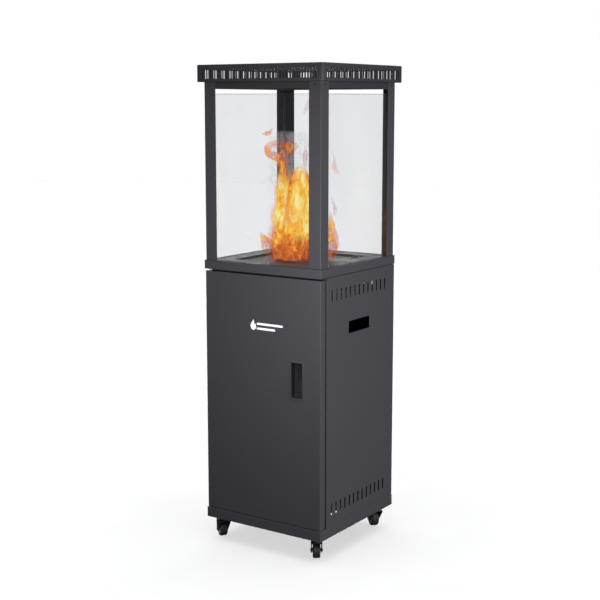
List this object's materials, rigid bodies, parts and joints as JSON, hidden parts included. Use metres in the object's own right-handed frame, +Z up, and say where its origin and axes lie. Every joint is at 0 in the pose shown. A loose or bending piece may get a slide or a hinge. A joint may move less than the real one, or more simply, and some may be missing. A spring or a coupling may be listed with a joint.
{
  "type": "outdoor heater",
  "caption": "Square flame tower gas heater on casters: door cabinet with vents, glass chamber between corner posts, and a louvred square lid.",
  "frame": {"origin": "on the floor under the middle of the cabinet", "axes": "+Z up, -Y towards the door, +X towards the door's handle side"},
  "size_m": [0.458, 0.458, 1.5],
  "materials": {
    "powder_coat": "anthracite powder coat with a fine texture",
    "floor_steel": "bare rolled steel, satin",
    "burner_steel": "heat-darkened steel",
    "clear_glass": "clear tempered glass",
    "brass": "machined brass",
    "copper": "drawn copper tube",
    "zinc": "zinc-plated steel",
    "black_plastic": "black moulded plastic",
    "tyre": "black rubber tread",
    "ceramic": "off-white insulator"
  },
  "bodies": {
    "cabinet": {"base_tray": "powder_coat", "side_panel_left": "powder_coat", "side_panel_right": "powder_coat", "rear_panel": "powder_coat", "compartment_floor": "powder_coat", "deck": "powder_coat", "floor_tray": "floor_steel", "burner_plate": "burner_steel", "burner_bowl": "burner_steel", "flame_disc": "floor_steel", "pilot_burner": "burner_steel", "thermocouple": "copper", "spark_electrode": "ceramic", "glass_front": "clear_glass", "glass_rear": "clear_glass", "glass_left": "clear_glass", "glass_right": "clear_glass", "post_front_left": "powder_coat", "post_front_right": "powder_coat", "post_rear_left": "powder_coat", "post_rear_right": "powder_coat", "top_frame": "powder_coat", "lid_cover": "powder_coat", "lid_heat_shield": "burner_steel", "hinge_lower": "zinc", "hinge_upper": "zinc", "magnet_catch": "black_plastic", "control_panel": "powder_coat", "gas_valve": "brass", "piezo_igniter": "ceramic", "gas_inlet": "brass", "gas_pipe": "copper", "pilot_pipe": "copper", "ignition_lead": "black_plastic", "tilt_switch": "black_plastic", "caster_mount_front_left": "zinc", "caster_mount_front_right": "zinc", "caster_mount_rear_left": "zinc", "caster_mount_rear_right": "zinc"},
    "door": {"door_panel": "powder_coat", "door_stiffener": "powder_coat", "pull_handle": "black_plastic", "strike_plate": "zinc"},
    "spindle": {"valve_spindle": "brass"},
    "knob": {"control_knob": "black_plastic"},
    "button": {"igniter_button": "black_plastic"},
    "swivel_front_left": {"caster_fork_front_left": "powder_coat", "caster_axle_front_left": "zinc"},
    "wheel_front_left": {"caster_wheel_front_left": "tyre"},
    "pedal_front_left": {"brake_pedal_front_left": "powder_coat"},
    "swivel_front_right": {"caster_fork_front_right": "powder_coat", "caster_axle_front_right": "zinc"},
    "wheel_front_right": {"caster_wheel_front_right": "tyre"},
    "pedal_front_right": {"brake_pedal_front_right": "powder_coat"},
    "swivel_rear_left": {"caster_fork_rear_left": "powder_coat", "caster_axle_rear_left": "zinc"},
    "wheel_rear_left": {"caster_wheel_rear_left": "tyre"},
    "swivel_rear_right": {"caster_fork_rear_right": "powder_coat", "caster_axle_rear_right": "zinc"},
    "wheel_rear_right": {"caster_wheel_rear_right": "tyre"}
  },
  "joints": [
    {"name": "door_hinge", "type": "hinge", "parent": "cabinet", "child": "door", "pos_m": [-0.2065, -0.2005, 0.49], "axis": [0, 0, -1], "range_deg": [0, 110]},
    {"name": "knob_push", "type": "slide", "parent": "cabinet", "child": "spindle", "axis": [0, 1, 0], "range_m": [0, 0.004], "stiffness_N_per_m": 900},
    {"name": "knob_turn", "type": "hinge", "parent": "spindle", "child": "knob", "pos_m": [-0.03, -0.19, 0.83], "axis": [0, -1, 0], "range_deg": [0, 210]},
    {"name": "igniter_press", "type": "slide", "parent": "cabinet", "child": "button", "axis": [0, 1, 0], "range_m": [0, 0.005], "stiffness_N_per_m": 1200},
    {"name": "swivel_front_left", "type": "hinge", "parent": "cabinet", "child": "swivel_front_left", "pos_m": [-0.178, -0.178, 0.06], "axis": [0, 0, 1], "continuous": true},
    {"name": "wheel_spin_front_left", "type": "hinge", "parent": "swivel_front_left", "child": "wheel_front_left", "pos_m": [-0.19543, -0.16458, 0.025], "axis": [-0.6101, -0.7923, 0], "continuous": true},
    {"name": "brake_front_left", "type": "hinge", "parent": "swivel_front_left", "child": "pedal_front_left", "pos_m": [-0.20177, -0.1597, 0.0545], "axis": [-0.6101, -0.7923, 0], "range_deg": [0, 12]},
    {"name": "swivel_front_right", "type": "hinge", "parent": "cabinet", "child": "swivel_front_right", "pos_m": [0.178, -0.178, 0.06], "axis": [0, 0, 1], "continuous": true},
    {"name": "wheel_spin_front_right", "type": "hinge", "parent": "swivel_front_right", "child": "wheel_front_right", "pos_m": [0.16557, -0.15985, 0.025], "axis": [-0.8251, -0.565, 0], "continuous": true},
    {"name": "brake_front_right", "type": "hinge", "parent": "swivel_front_right", "child": "pedal_front_right", "pos_m": [0.16105, -0.15325, 0.0545], "axis": [-0.8251, -0.565, 0], "range_deg": [0, 12]},
    {"name": "swivel_rear_left", "type": "hinge", "parent": "cabinet", "child": "swivel_rear_left", "pos_m": [-0.178, 0.178, 0.06], "axis": [0, 0, 1], "continuous": true},
    {"name": "wheel_spin_rear_left", "type": "hinge", "parent": "swivel_rear_left", "child": "wheel_rear_left", "pos_m": [-0.19543, 0.19142, 0.025], "axis": [-0.6101, -0.7923, 0], "continuous": true},
    {"name": "swivel_rear_right", "type": "hinge", "parent": "cabinet", "child": "swivel_rear_right", "pos_m": [0.178, 0.178, 0.06], "axis": [0, 0, 1], "continuous": true},
    {"name": "wheel_spin_rear_right", "type": "hinge", "parent": "swivel_rear_right", "child": "wheel_rear_right", "pos_m": [0.16057, 0.19142, 0.025], "axis": [-0.6101, -0.7923, 0], "continuous": true}
  ]
}
